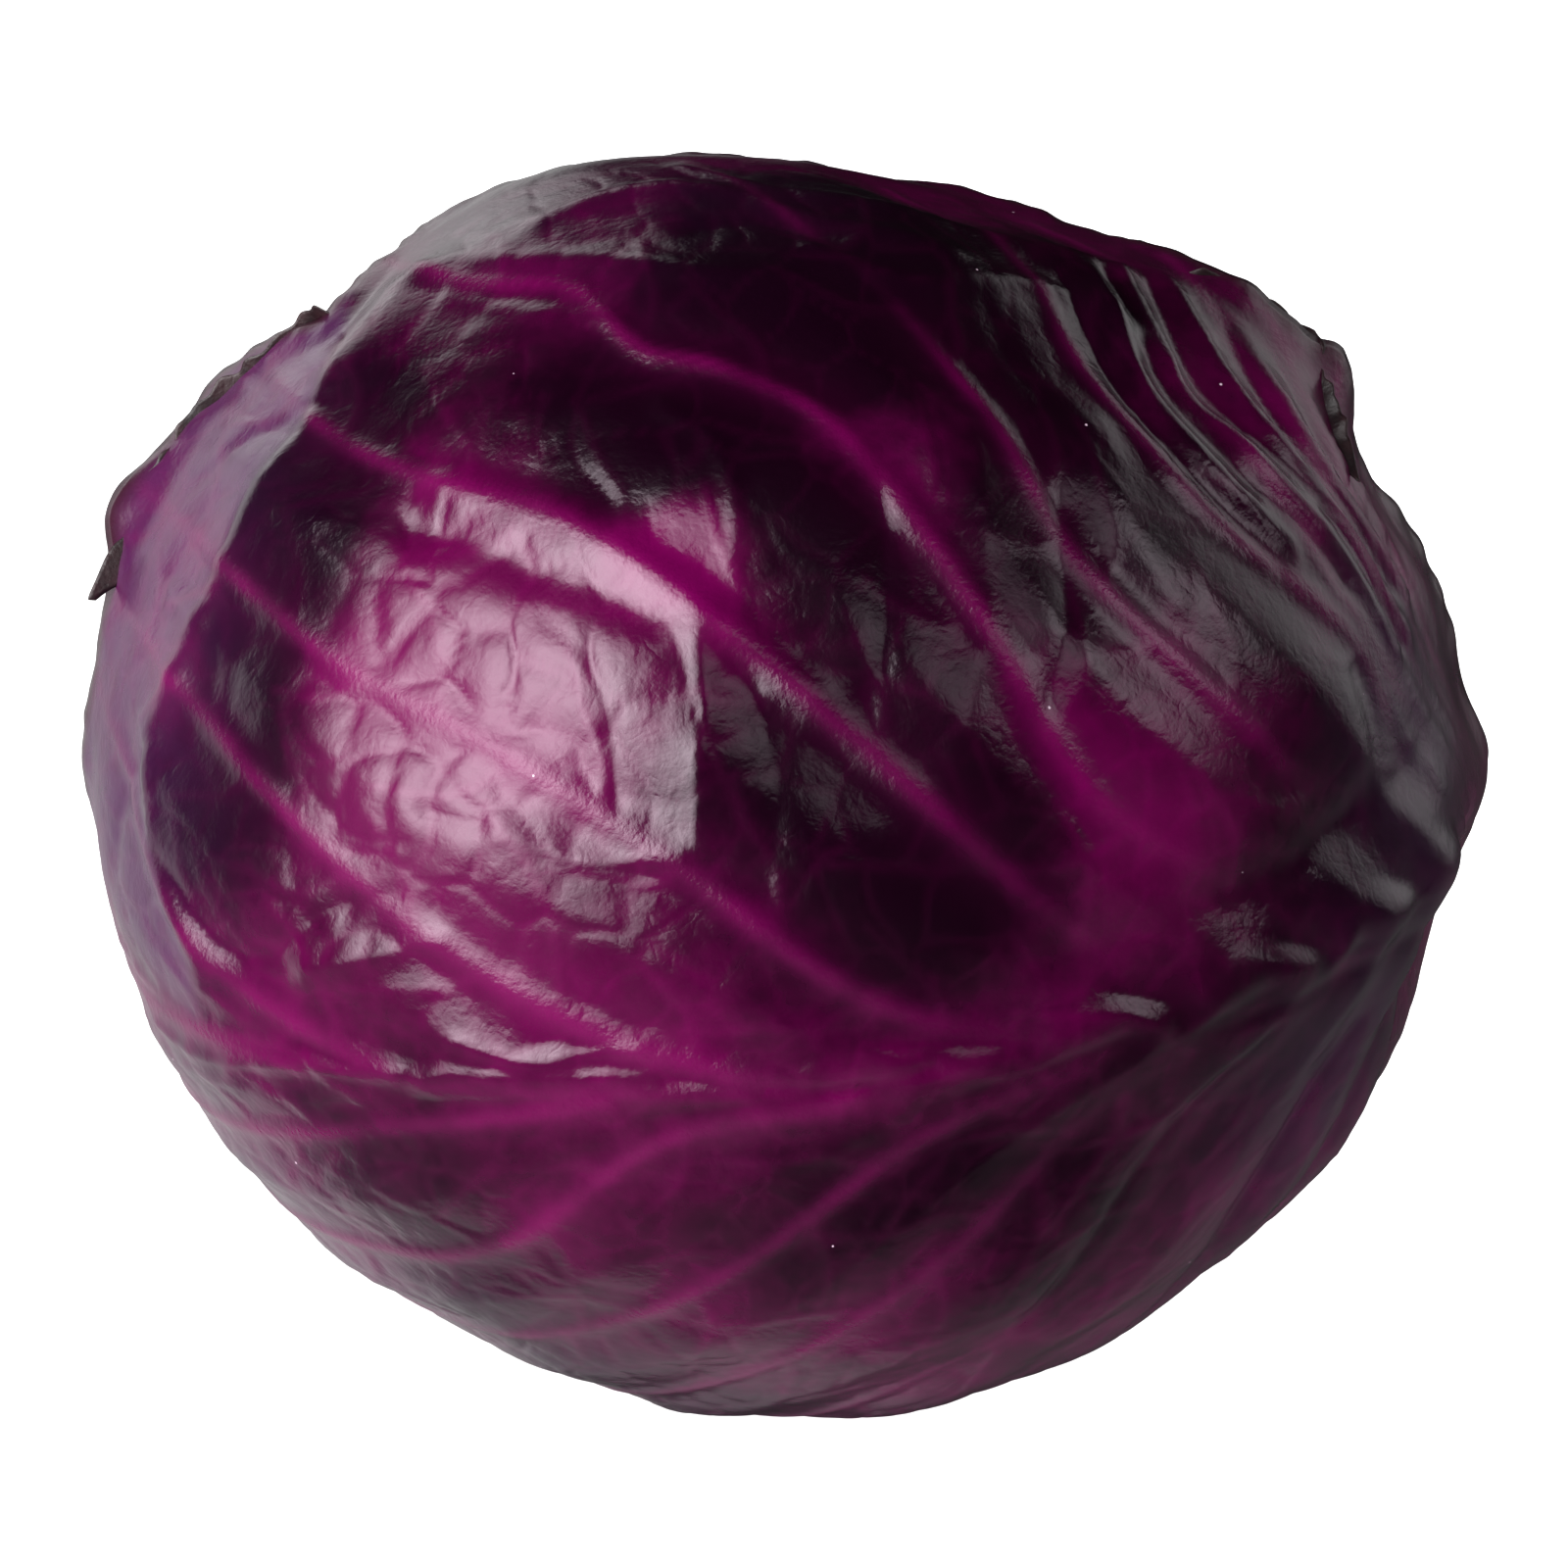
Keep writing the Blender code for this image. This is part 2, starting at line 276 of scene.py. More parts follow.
# folds in the front leaf: crest, places, then widths and heights in millimetres from start to end
FRONT_FOLDS = (
    # along the crest of the head
    ("sharp", ((-70, 74), (-59, 82), (-47, 84), (-36, 81), (-26, 79), (-16, 75), (-8, 74)),
     (7.0, 3.0), (2.4, 0.7)),
    ("sharp", ((-32, 88), (-22, 92), (-10, 92), (-2, 86), (6, 80), (14, 75)), (4.0, 2.6), (1.2, 0.6)),
    ("sharp", ((-10, 99), (0, 90), (10, 85), (22, 80), (32, 74), (42, 69), (56, 60)), (4.0, 3.5), (1.0, 0.9)),
    ("sharp", ((-2, 78), (8, 71), (22, 70), (30, 66), (34, 58)), (2.6, 2.4), (0.8, 0.6)),
    ("sharp", ((-46, 78), (-38, 74), (-28, 71)), (2.2, 1.8), (0.6, 0.4)),
    ("sharp", ((-14, 84), (-6, 84), (0, 80)), (2.0, 1.8), (-0.7, -0.4)),
    # the sharp turn to the left side, and facets beyond it
    ("sharp", ((-60, 76), (-63, 62), (-68, 52), (-74, 40), (-79, 30), (-81, 20), (-78, 11), (-72, 2)),
     (6.0, 5.0), (1.9, 1.7)),
    ("sharp", ((-62, 64), (-74, 60), (-84, 52)), (2.0, 1.6), (-0.6, -0.3)),
    ("sharp", ((-74, 40), (-84, 42), (-92, 34)), (2.0, 1.6), (-0.5, -0.3)),
    ("sharp", ((-80, 24), (-88, 14), (-90, 2)), (2.0, 1.6), (-0.5, -0.3)),
    # round the bright quilted cheek
    ("soft", ((-46, 52), (-38, 49), (-30, 45), (-22, 39), (-15, 33)), (3.4, 3.0), (0.9, 0.6)),
    ("soft", ((-49, 49), (-43, 47), (-37, 44), (-32, 42), (-28, 40)), (2.6, 2.3), (-1.1, -0.5)),
    ("sharp", ((-24, 38), (-24, 33), (-25, 28), (-26, 22)), (3.4, 3.0), (1.0, 0.7)),
    ("sharp", ((-37, 40), (-33, 36), (-32, 31), (-32, 24)), (1.2, 1.0), (-0.3, -0.2)),
    ("sharp", ((-20, 34), (-19, 26), (-20, 20)), (3.0, 2.6), (-0.5, -0.4)),
    ("sharp", ((-60, 24), (-55, 20), (-50, 20)), (1.0, 0.8), (-0.35, -0.2)),
    ("sharp", ((-48, 23), (-42, 22), (-38, 20)), (1.0, 0.8), (-0.40, -0.2)),
    ("soft", ((-24, 60), (-20, 56), (-19, 50), (-20, 45)), (1.2, 1.0), (0.30, 0.2)),
    # upright folds in the panels right of the middle
    ("sharp", ((5, 55), (2, 41), (-1, 33), (-5, 25)), (4.0, 3.5), (0.6, 0.4)),
    ("sharp", ((11, 46), (9, 38), (5, 30)), (2.4, 2.0), (-0.5, -0.4)),
    ("sharp", ((-5, 52), (-7, 43), (-9, 34)), (2.4, 2.0), (-0.6, -0.4)),
    ("soft", ((18, 52), (17, 44), (20, 36)), (3.0, 2.4), (0.5, 0.3)),
    # long folds that run together down the right side
    ("sharp", ((28, 70), (25, 60), (25, 52), (29, 44), (35, 36)), (2.0, 1.6), (-0.8, -0.5)),
    ("sharp", ((33, 70), (29, 60), (28, 52), (31, 45), (37, 38)), (1.8, 1.4), (0.8, 0.5)),
    ("sharp", ((36, 70), (32, 60), (31, 52), (34, 45), (39, 40), (44, 32)), (1.8, 1.4), (-0.8, -0.6)),
    ("sharp", ((39, 70), (35, 60), (34, 53), (37, 46), (41, 40), (46, 33), (50, 24)), (1.8, 1.5), (1.0, 0.8)),
    ("sharp", ((43, 69), (38, 60), (37, 53), (40, 46), (44, 40), (48, 33), (52, 24)),
     (1.5, 1.3), (-0.8, -0.7)),
    ("sharp", ((46, 68), (42, 59), (41, 50), (44, 42), (49, 33), (54, 24)), (1.8, 1.5), (1.0, 0.9)),
    ("sharp", ((49, 63), (45, 54), (44, 46), (48, 38), (54, 29)), (1.4, 1.2), (-0.8, -0.7)),
    ("sharp", ((51, 62), (47, 52), (47, 44), (52, 35), (58, 27)), (1.8, 1.5), (1.1, 0.9)),
    ("sharp", ((54, 60), (50, 50), (50, 42), (55, 34), (61, 26)), (1.4, 1.2), (-0.7, -0.6)),
    ("sharp", ((57, 57), (54, 49), (54, 42), (59, 34)), (1.8, 1.5), (0.9, 0.8)),
    ("sharp", ((14, 68), (14, 58), (18, 48)), (3.0, 2.4), (-0.5, -0.3)),
    ("soft", ((42, 24), (42, 17), (37, 13), (29, 11)), (2.2, 2.0), (-0.4, -0.2)),
    # beside the midrib and the leaf stalk
    ("soft", ((50, 13), (36, 12), (22, 11), (8, 10), (-4, 8)), (3.0, 2.4), (-0.4, -0.3)),
    ("soft", ((74, 8), (62, 9), (52, 9), (42, 8), (32, 7), (20, 6)), (8.0, 3.0), (1.6, 0.3)),
    ("sharp", ((74, -6), (60, -5), (50, -3), (40, -1), (28, 0), (16, 0)), (3.4, 1.6), (-1.8, -0.2)),
    ("sharp", ((-8, 2), (-14, 1), (-21, 1)), (1.3, 0.9), (-0.8, -0.6)),
    ("sharp", ((-84, -14), (-74, -11), (-62, -5), (-52, -2), (-45, 0), (-36, 1), (-30, 2)),
     (1.8, 1.4), (0.8, 0.6)),
    ("sharp", ((-46, 3), (-40, 2), (-36, 3), (-31, 4)), (1.1, 0.9), (0.5, 0.4)),
    ("sharp", ((-78, 11), (-70, 5), (-64, 6), (-58, 12), (-52, 15)), (1.6, 1.3), (-0.6, -0.4)),
    ("sharp", ((-60, 6), (-54, 9), (-47, 12)), (1.6, 1.4), (0.7, 0.4)),
    ("sharp", ((-42, 22), (-36, 20), (-30, 20), (-25, 21)), (1.6, 1.3), (0.6, 0.4)),
    # grooves low on the right
    ("sharp", ((4, -30), (10, -16), (17, -7), (24, -2)), (1.8, 1.4), (-0.7, -0.4)),
    ("sharp", ((24, -42), (26, -27), (31, -16), (38, -8)), (1.8, 1.4), (-0.9, -0.6)),
    ("sharp", ((34, -40), (38, -27), (44, -17), (50, -9)), (1.8, 1.4), (-1.0, -0.6)),
    ("sharp", ((48, -36), (50, -26), (54, -17), (60, -10)), (1.8, 1.4), (-1.0, -0.6)),
)

# broad dents and cushions pressed into the front leaf: along, across, spread in degrees, height
FRONT_DENTS = (
    (-30, 36, 7, 0.0010), (-46, 22, 8, 0.0008), (-8, 66, 8, -0.0012), (-52, 66, 7, -0.0012),
    (14, 62, 7, -0.0010), (-20, 72, 6, 0.0008), (-72, 34, 6, -0.0010), (-14, 27, 6, -0.0010),
    (34, 54, 6, -0.0012), (-64, 48, 6, 0.0009), (-4, -22, 10, 0.0008), (-40, -14, 8, 0.0007),
    (30, -34, 9, -0.0010), (-60, -24, 9, -0.0009), (48, 50, 5, 0.0010), (6, 34, 6, 0.0007),
)


def rule_ribs(leaf):
    """Side ribs of a hidden leaf: they leave the midrib in turn and bow out to the margin."""
    rng = np.random.default_rng(int(leaf.turn))
    ribs = []
    for side in (1, -1):
        for number in range(9):
            station = 62 - 15 * number + rng.uniform(-3, 3) - 4 * side
            swing = math.radians(38 + 15.5 * number + rng.uniform(-3, 3))
            end = (leaf.centre[0] + 0.97 * leaf.half_size[0] * math.cos(swing),
                   leaf.centre[1] + 0.97 * side * leaf.half_size[1] * math.sin(swing))
            low = (station - 13, side * rng.uniform(8, 12))
            high = (0.4 * station + 0.6 * end[0] - 12, 0.5 * end[1] + side * rng.uniform(-3, 3))
            ribs.append(((station, 0), low, high, end))
    return ribs


def ribs_of(leaf):
    """The midrib and the side ribs as lines on the head."""
    if leaf.name == "front_leaf":
        places, spine = FRONT_RIBS, FRONT_MIDRIB
    else:
        places = rule_ribs(leaf)
        spine = ((leaf.centre[0] + leaf.half_size[0], 0), (10, 1), (leaf.centre[0] - leaf.half_size[0], -3))
    midrib = line_on(leaf, spine, (3.6, 0.9), (1.2, 0.4), 400)
    side = [line_on(leaf, row, (2.2, 1.3), (0.90, 0.50)) for row in places]
    return [midrib], side


def branches_of(side, seed):
    """Fine veins that leave the side ribs in turn, left and right, and bend towards the margin."""
    rng = np.random.default_rng(seed)
    branches = []
    for rib in side:
        for number, start in enumerate(range(24, 245, 20)):
            begin = rib.ways[start]
            onward = rib.ways[min(start + 8, LINE_STEPS - 1)] - begin
            onward /= np.linalg.norm(onward)
            sideways = np.cross(begin, onward) * (1 if number % 2 else -1)
            length = rng.uniform(9, 18) * MM / REACH
            lean = rng.uniform(0.8, 1.3)
            along = np.linspace(0, 1, VEIN_STEPS)[:, None]
            bend = onward * (0.45 * along + 0.5 * along ** 2) + sideways * lean * (along - 0.25 * along ** 2)
            sway = sideways * 0.05 * np.sin(along * rng.uniform(4, 8))
            ways = begin + length * (bend + sway)
            ways /= np.linalg.norm(ways, axis=1)[:, None]
            widths = np.linspace(0.9, 0.5, VEIN_STEPS) * MM
            heights = np.linspace(0.35, 0.12, VEIN_STEPS) * MM
            branches.append(Line(ways, widths, heights))
    return branches


def nearest_line(points, lines):
    """Distance to the nearest line, plus or minus for its two sides, and its width and height there."""
    ways = np.concatenate([line.ways for line in lines])
    onward = np.concatenate([np.gradient(line.ways, axis=0) for line in lines])
    widths = np.concatenate([line.widths for line in lines])
    heights = np.concatenate([line.heights for line in lines])
    tree = KDTree(len(ways))
    for index, way in enumerate(ways * REACH):
        tree.insert(way, index)
    tree.balance()
    found = [tree.find(point) for point in points]
    index = np.array([item[1] for item in found])
    distance = np.array([item[2] for item in found])
    sideways = np.cross(ways[index], onward[index])
    side = np.sign(((points - ways[index] * REACH) * sideways).sum(axis=1))
    return distance * side, widths[index], heights[index]


def ridge(found, crest="soft"):
    """Height of a rib or fold at a distance from its middle line, with a rounded or a creased crest."""
    distance, widths, heights = found
    off = np.abs(distance) / widths
    if crest == "sharp":
        return heights * np.exp(0.26 - 1.3 * np.sqrt(off ** 2 + 0.04))
    return heights * np.exp(-off ** 2)


def cushions(points, ways, spacing, seed):
    """Small puffed cells between the veins: distance from the groove and a tilt, different in each."""
    count = int(4 * math.pi * REACH ** 2 / spacing ** 2)
    rng = np.random.default_rng(seed)
    number = np.arange(count) + 0.5
    height = 1 - 2 * number / count
    spin = math.pi * (1 + math.sqrt(5)) * number
    rim = np.sqrt(1 - height ** 2)
    seeds = np.stack([height, rim * np.cos(spin), rim * np.sin(spin)], axis=1) * REACH
    seeds += rng.normal(size=seeds.shape) * spacing * 0.30
    tilts = rng.normal(size=seeds.shape)
    tree = KDTree(count)
    for index, seed_point in enumerate(seeds):
        tree.insert(seed_point, index)
    tree.balance()
    warp = np.stack([ripple(ways, spacing * 2, seed + step) for step in (1, 2, 3)], axis=1)
    moved = points + warp * spacing * 0.16
    found = [tree.find_n(point, 2) for point in moved]
    first = np.array([pair[0][1] for pair in found])
    gap = np.array([pair[1][2] - pair[0][2] for pair in found]) / spacing
    tilt = ((moved - seeds[first]) * tilts[first]).sum(axis=1) / spacing
    return gap, tilt


# ---- leaf blades
def square_to_disc(square):
    """Spread a square of side 2 evenly over a disc of radius 1."""
    across, up = square[:, 0], square[:, 1]
    wide = np.abs(across) > np.abs(up)
    size = np.where(wide, across, up)
    safe = np.where(size == 0, 1, size)
    angle = np.where(wide, math.pi / 4 * up / safe, math.pi / 2 - math.pi / 4 * across / safe)
    return np.stack([size * np.cos(angle), size * np.sin(angle)], axis=1)


def slab(name, columns, rows, coarse):
    """A thin closed plate with a fine top grid and a coarse bottom one, to be bent into a leaf."""
    bm = bmesh.new()
    bmesh.ops.create_grid(bm, x_segments=columns, y_segments=rows, size=1)
    bmesh.ops.create_grid(bm, x_segments=max(columns // coarse, 8), y_segments=max(rows // coarse, 8),
                          size=1, matrix=Matrix.Translation((0, 0, -0.1)))
    rims = [edge for edge in bm.edges if edge.is_boundary]
    bmesh.ops.bridge_loops(bm, edges=rims)
    bmesh.ops.recalc_face_normals(bm, faces=bm.faces[:])
    return finish_mesh(bm, name)


def get_points(mesh_data):
    flat = np.empty(len(mesh_data.vertices) * 3)
    mesh_data.vertices.foreach_get("co", flat)
    return flat.reshape(-1, 3)


def set_points(mesh_data, points):
    mesh_data.vertices.foreach_set("co", np.ascontiguousarray(points, dtype=np.float32).ravel())
    mesh_data.update()


def set_attribute(mesh_data, name, values):
    layer = mesh_data.attributes.new(name, "FLOAT", "POINT")
    layer.data.foreach_set("value", np.clip(values, 0, 1).astype(np.float32))


def leaf_places(number, leaf, square):
    """Lay a square's points out over the leaf: its place in degrees and its share of the outline."""
    disc = square_to_disc(square)
    size = np.hypot(disc[:, 0], disc[:, 1])
    disc *= (0.70 + 0.30 * size ** 2)[:, None]
    swing = np.arctan2(disc[:, 1], disc[:, 0])
    rim = np.stack([np.cos(swing), np.sin(swing), np.zeros(len(swing))], axis=1)
    ragged = 0.010 * ripple(rim, 0.05, number) + 0.006 * ripple(rim, 0.012, number + 20)
    reach = outline_reach(leaf, swing)
    disc *= (1 + (reach - 1) * size ** 2 - (0.012 - ragged) * size ** 6)[:, None]
    return np.array(leaf.centre) + disc * np.array(leaf.half_size), size


def crumple(ways, size, number):
    """The dried and crinkled last millimetres of a leaf's margin, lifted off the leaf below."""
    edge = smooth_step(size, 0.955, 1.0)
    wave = 0.5 + 0.5 * np.clip(ripple(ways, 0.016, number + 100), -1, 1)
    fine = 0.5 + 0.5 * np.clip(ripple(ways, 0.005, number + 101), -1, 1)
    return edge * (0.0002 + 0.0009 * wave + 0.0004 * fine)


# how much paler or darker its ribs are than plain, and where a lilac tint lies on it: partly its waxy coat,
# partly a painted sheen on the faces that turn away towards the pale backdrop at its edges and crest
FRONT_RIB_TONE = (
    (34, 8, 18, -0.80), (4, 4, 18, -0.60), (44, -16, 22, -0.85), (8, -26, 22, -0.60), (-30, -34, 18, -0.25),
    (44, 60, 14, -0.50), (-20, 64, 10, 0.45), (2, 72, 9, -0.75), (16, 78, 10, -0.60), (-4, 92, 12, -0.50),
    (56, -28, 22, -0.60), (30, -44, 16, -0.30), (56, 9, 13, -0.60), (-58, -14, 14, -0.35),
)
FRONT_BLOOM_AND_SHEEN = (
    (-90, 40, 16, 0.90), (-92, 8, 18, 0.90), (-82, 62, 10, 0.60), (-76, -36, 18, 0.80), (-46, -56, 20, 0.80),
    (-8, -64, 20, 0.55), (30, -56, 18, 0.40), (54, 18, 13, 0.95), (38, -14, 15, 0.60), (-20, 100, 20, 0.25),
)
# the sharp turn to the left side: how far along it stands at each place across
FRONT_TURN_ACROSS = (2, 11, 20, 30, 40, 52, 62, 76)
FRONT_TURN_ALONG = (-72, -78, -81, -79, -74, -68, -63, -60)
# how much more or less the front leaf is quilted with puffed cells: along, across, spread, amount
FRONT_QUILT = (
    (-44, 36, 14, 0.90), (-54, 22, 10, 0.45), (-8, 60, 26, -0.40), (46, 40, 22, -0.50), (24, 10, 16, -0.40),
    (-70, 30, 10, -0.45), (-60, 54, 8, -0.35), (-20, 20, 8, -0.30), (14, 34, 13, -0.45), (-4, 34, 9, -0.40),
    (54, 16, 14, -0.45),
    (-10, -14, 22, -0.40), (30, -26, 22, -0.30), (-56, -24, 20, -0.10),
)
# where the front leaf's margin lifts and curls: along, across, spread in degrees, height
FRONT_CURLS = (
    (-66, 80, 6, 0.0010), (-80, 74, 7, 0.0014), (-93, 60, 7, 0.0012), (-96, 48, 4, 0.0030),
    (58, 60, 5, 0.0016), (64, 50, 4, 0.0018),
)
# how dark the leaf's colour is over its face, more or less: along, across, spread, amount. Partly the leaf's
# own patchy colour, partly painted light and shade: lighter on the lit cheek and on the crest of the rib
# above it, darker across the top that faces away from the lights
FRONT_DARKNESS_AND_PAINTED_LIGHT = (
    (-14, 67, 8, 0.60), (2, 72, 12, 0.90), (0, 88, 10, 0.45), (-34, 62, 8, 0.10), (24, 68, 14, 0.30),
    (-28, 55, 7, 0.45), (-15, 48, 8, 0.40), (-61, 57, 8, 0.75), (-66, 42, 8, 0.35), (-70, 24, 10, 0.30),
    (-57, 43, 6, 0.15), (-44, 34, 13, -0.42), (-24, 46, 5, -0.70), (-19, 25, 7, 0.15), (-12, 13, 8, 0.30),
    (-2, 20, 8, 0.35), (3, 42, 8, 0.20), (16, 50, 10, 0.50), (12, 32, 8, 0.05), (44, 30, 14, 0.05),
    (24, 6, 14, 0.12), (-10, 2, 9, -0.15), (-26, -8, 14, 0.06), (-20, -18, 8, 0.10), (-44, -26, 14, 0.20),
    (-34, 8, 10, -0.10), (28, -6, 12, 0.15), (14, -10, 12, 0.12), (-60, -26, 12, -0.15), (-50, -6, 10, 0.05),
    (8, -22, 9, 0.20), (50, 20, 12, 0.20), (46, -12, 12, 0.25),
)


def leaf_relief(number, leaf, ways, place, size):
    """Height of the leaf's outer face over the plain head, and what its finish needs to know."""
    points = ways * REACH
    midrib, side = ribs_of(leaf)
    middle = nearest_line(points, midrib)
    ribs = nearest_line(points, side)
    branches = nearest_line(points, branches_of(side, number + 40))
    middle_share = np.exp(-(middle[0] / middle[1]) ** 2)
    rib_share = np.exp(-(ribs[0] / ribs[1]) ** 2)
    branch_share = np.exp(-(branches[0] / branches[1]) ** 2)

    relief = np.maximum(ridge(middle), ridge(ribs)) + 0.45 * ridge(branches) * (1 - rib_share) - 0.0012
    relief += 0.0010 * (1 - np.exp(-(ribs[0] / (6.5 * MM)) ** 2))
    gap, tilt = cushions(points, ways, CELL_SIZE, number + 60)
    small_gap, small_tilt = cushions(points, ways, SMALL_CELL_SIZE, number + 70)
    puff = 1 - (1 - np.clip(gap / 0.9, 0, 1)) ** 2
    small_puff = 1 - (1 - np.clip(small_gap / 0.9, 0, 1)) ** 2
    quiet = 1 - 0.85 * np.maximum(rib_share, middle_share)
    quilted = np.ones(len(ways))
    tone = np.full(len(ways), 0.8)
    bloom = 0.30 + 0.15 * ripple(ways, 0.05, number + 120)
    if leaf.name == "front_leaf":
        quilted = np.clip(0.60 + spots(ways, leaf, FRONT_QUILT), 0.1, 1.6)
        tone = np.clip(0.88 + spots(ways, leaf, FRONT_RIB_TONE), 0.05, 1.0)
        relief -= 1.15 * (1 - tone) * ridge(ribs)
        turn = np.interp(place[:, 1], FRONT_TURN_ACROSS, FRONT_TURN_ALONG)
        beyond = smooth_step(turn - place[:, 0], -0.5, 2.5) * (1 - smooth_step(-place[:, 1], 0, 12))
        # painted sheen: the lilac tint on the strip beyond the sharp turn and at the listed spots stands for
        # the pale backdrop reflected at a grazing angle, over some waxy coat
        bloom = np.maximum(0.45 * spots(ways, leaf, FRONT_BLOOM_AND_SHEEN), 0.80 * beyond)
        tone *= 1 - 0.6 * beyond
    groove = np.exp(-(gap / 0.08) ** 2)
    relief += quiet * quilted * (0.00022 * puff + 0.00006 * tilt * puff - 0.00012 * groove)
    relief += quiet * quilted * (0.00007 * small_puff + 0.00002 * small_tilt * small_puff)
    relief += 0.0003 * ripple(ways, 0.036, number + 80) + 0.00006 * quilted * ripple(ways, 0.014, number + 90)
    if leaf.name == "front_leaf":
        relief += spots(ways, leaf, FRONT_DENTS)
        for crest, places, widths, heights in FRONT_FOLDS:
            fold = line_on(leaf, places, widths, heights)
            middle_way = fold.ways.mean(axis=0)
            middle_way /= np.linalg.norm(middle_way)
            spread = apart(fold.ways, middle_way).max() + 4.5 * max(widths) * MM / REACH * ARC_DEGREES
            near = apart(ways, middle_way) < spread
            relief[near] += ridge(nearest_line(points[near], [fold]), crest)
    masks = {
        "rib": np.maximum(0.85 * middle_share, rib_share) ** 2.6 * tone,
        "glow": np.maximum(0.7 * np.exp(-(middle[0] / 0.010) ** 2), np.exp(-(ribs[0] / 0.0046) ** 2)) * tone,
        "vein": np.maximum(branch_share, 0.7 * (1 - smooth_step(gap, 0.0, 0.16))),
        "margin": smooth_step(size, 0.978, 0.996),
        "satin": np.clip(quilted - 0.55, 0, 0.8) + 0.6 * bloom + 0.6 * smooth_step(place[:, 0], 34, 60),
        "bloom": bloom,
    }
    return relief, masks


def tucked_under(number, ways):
    """How many leaves lie over each place of this one, and how bare it is there, from 0 to 1."""
    layers = np.zeros(len(ways))
    bare = np.ones(len(ways))
    for upper in LEAVES[number + 1:]:
        share = outline_share(upper, way_to_place(upper, ways))
        over = 1 - smooth_step(share, 0.86, 0.97)
        layers += over
        bare *= 1 - over
    return layers, bare


def press_flat(ways, radius, floor):
    """Hold the underside at this depth below the head's middle."""
    pressed = ways[:, 2] * radius < -floor
    return np.where(pressed, -floor / np.where(pressed, ways[:, 2], 1), radius)


def make_leaf(number, leaf, columns, rows, coarse):
    inset = (len(LEAVES) - 1 - number) * LEAF_STEP
    mesh_data = slab(leaf.name + "_blade", int(columns * FINE), int(rows * FINE), coarse)
    square = get_points(mesh_data)
    outside = square[:, 2] > UNDER_FACE
    place, size = leaf_places(number, leaf, square[:, :2])
    ways = place_to_way(leaf, place)

    layers_over, bare = tucked_under(number, ways)
    relief, masks = leaf_relief(number, leaf, ways, place, size)
    relief *= bare * (1 - smooth_step(size, 0.88, 0.97))
    relief += crumple(ways, size, number) * bare - TUCK * layers_over
    if leaf.name == "front_leaf":
        relief += spots(ways, leaf, FRONT_CURLS) * smooth_step(size, 0.93, 1.0)

    radius = head_radius(ways) - inset + relief
    for below in LEAVES[:number + 1]:
        radius += midrib_lift(below, way_to_place(below, ways))
    radius -= np.where(outside, 0, LEAF_SKIN)
    floor = FLAT_HEIGHT - inset - np.where(outside, 0, LEAF_SKIN)
    set_points(mesh_data, MIDDLE + ways * press_flat(ways, radius, floor)[:, None])

    dark = 0.56 + 0.10 * ripple(ways, 0.045, number + 110)
    if leaf.name == "front_leaf":
        # painted light and shade on the front leaf: a lighter colour on the lit cheek and rib crest, a darker
        # one across the top
        dark += spots(ways, leaf, FRONT_DARKNESS_AND_PAINTED_LIGHT)
    masks["dark"] = dark
    for name, values in masks.items():
        set_attribute(mesh_data, name, values)
    return finish_piece(leaf.name + "_blade", mesh_data)


# Dried scraps of the front leaf's margin that stand off the head: name, places, height and its
# last part's height in millimetres, how ragged, seed
SCRAPS = (
    ("dried_margin", ((-62, 80), (-69, 78), (-76, 73), (-83, 67), (-88, 60), (-91, 53), (-93, 46), (-94, 39)),
     2.2, 3.6, 0.3, 301),
    ("torn_margin", ((49, 67), (54, 62), (58, 56), (59, 51), (57, 46), (54, 42)), 1.5, 1.2, 0.7, 302),
)


def make_scrap(name, places, height, last_height, ragged, seed):
    """A thin crinkled strip that stands up along a line on the front leaf and curls at its far end."""
    mesh_data = slab(name, 170, 10, 1)
    square = get_points(mesh_data)
    along = (square[:, 0] + 1) / 2
    rise = (square[:, 1] + 1) / 2
    side = np.where(square[:, 2] > UNDER_FACE, 0.5, -0.5)
    path = smooth_path(places, SCRAP_STEPS)
    steps = np.linspace(0, 1, SCRAP_STEPS)
    place = np.stack([np.interp(along, steps, path[:, axis]) for axis in (0, 1)], axis=1)
    ways = place_to_way(FRONT, place)
    onward = np.gradient(place_to_way(FRONT, path), axis=0)
    onward = np.stack([np.interp(along, steps, onward[:, axis]) for axis in (0, 1, 2)], axis=1)
    onward /= np.linalg.norm(onward, axis=1)[:, None]
    sideways = np.cross(ways, onward)
    tip = smooth_step(along, 0.90, 0.97) * (1 - smooth_step(along, 0.985, 1.0))
    notch = 1 + ragged * np.clip(ripple(ways, 0.006, seed), -1, 1) * 0.7
    notch += 0.2 * ripple(ways, 0.0025, seed + 1)
    ends = smooth_step(along, 0.0, 0.06) * (1 - 0.6 * smooth_step(along, 0.98, 1.0))
    stand = (height * (1 - tip) * notch + last_height * tip) * ends * MM
    sway = (0.6 * ripple(ways, 0.009, seed + 2) + 0.25 * ripple(ways, 0.004, seed + 3)) * MM * rise
    curl = 4.0 * MM * tip * rise ** 2
    radius = head_radius(ways) - 1.4 * MM + rise * (stand + 1.4 * MM)
    thickness = 0.5 * MM * (1 - 0.6 * rise)
    points = ways * radius[:, None] + sideways * (sway + side * thickness)[:, None] + onward * curl[:, None]
    set_points(mesh_data, MIDDLE + points)
    set_attribute(mesh_data, "rise", rise)
    return finish_piece(name, mesh_data)


# ---- packed leaves and cut stalk
PACKED_INSET = len(LEAVES) * LEAF_STEP
STALK_SEAT_DEPTH = 0.004
STALK_TAPER = 0.9
STALK_SEAT = HEAD_LENGTH / 2 - PACKED_INSET - STALK_SEAT_DEPTH


